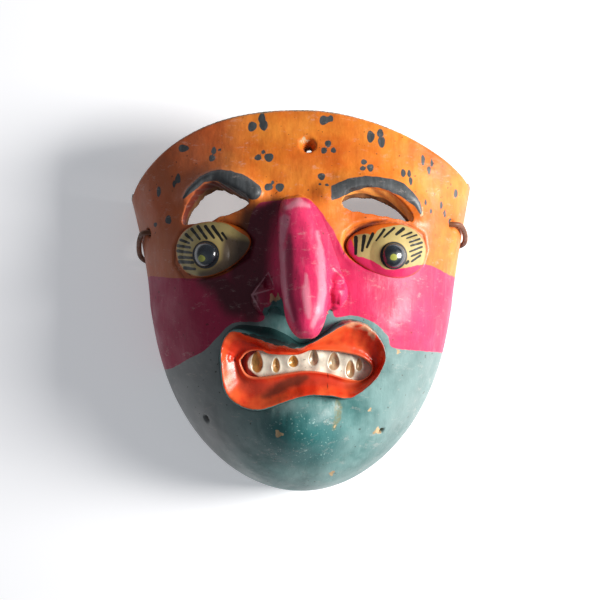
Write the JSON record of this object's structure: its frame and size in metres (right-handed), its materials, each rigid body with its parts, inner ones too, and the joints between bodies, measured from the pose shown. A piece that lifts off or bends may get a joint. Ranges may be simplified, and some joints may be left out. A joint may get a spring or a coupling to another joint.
{
  "type": "carved wooden face mask",
  "caption": "Carved and painted wooden dance mask with a hooked nose, eye slots, domed eyes, flared lips, bared teeth and a leather tie.",
  "frame": {"origin": "middle of the mask on the flat surface that its back rim lies on", "axes": "+Z out of the face, +Y towards the crown, +X towards the viewer's right"},
  "size_m": [0.175, 0.19, 0.0941],
  "materials": {
    "face_paint": "gloss paint in orange, magenta and teal bands over carved wood",
    "nose_paint": "gloss magenta paint over carved wood",
    "bare_wood": "unpainted",
    "eye_paint": "gloss cream paint over carved wood",
    "pupil_paint": "gloss black paint over carved wood",
    "lip_paint": "gloss red paint over carved wood",
    "tooth_paint": "silver and ochre paint over carved wood",
    "thong_leather": "worn"
  },
  "bodies": {
    "root": {"face_shell": "face_paint", "nose": "nose_paint", "nose_peg_upper": "bare_wood", "nose_peg_lower": "bare_wood", "left_eye": "eye_paint", "right_eye": "eye_paint", "left_pupil": "pupil_paint", "right_pupil": "pupil_paint", "lips": "lip_paint", "teeth": "tooth_paint", "left_knot": "thong_leather", "right_knot": "thong_leather", "thong": "thong_leather"}
  },
  "joints": []
}
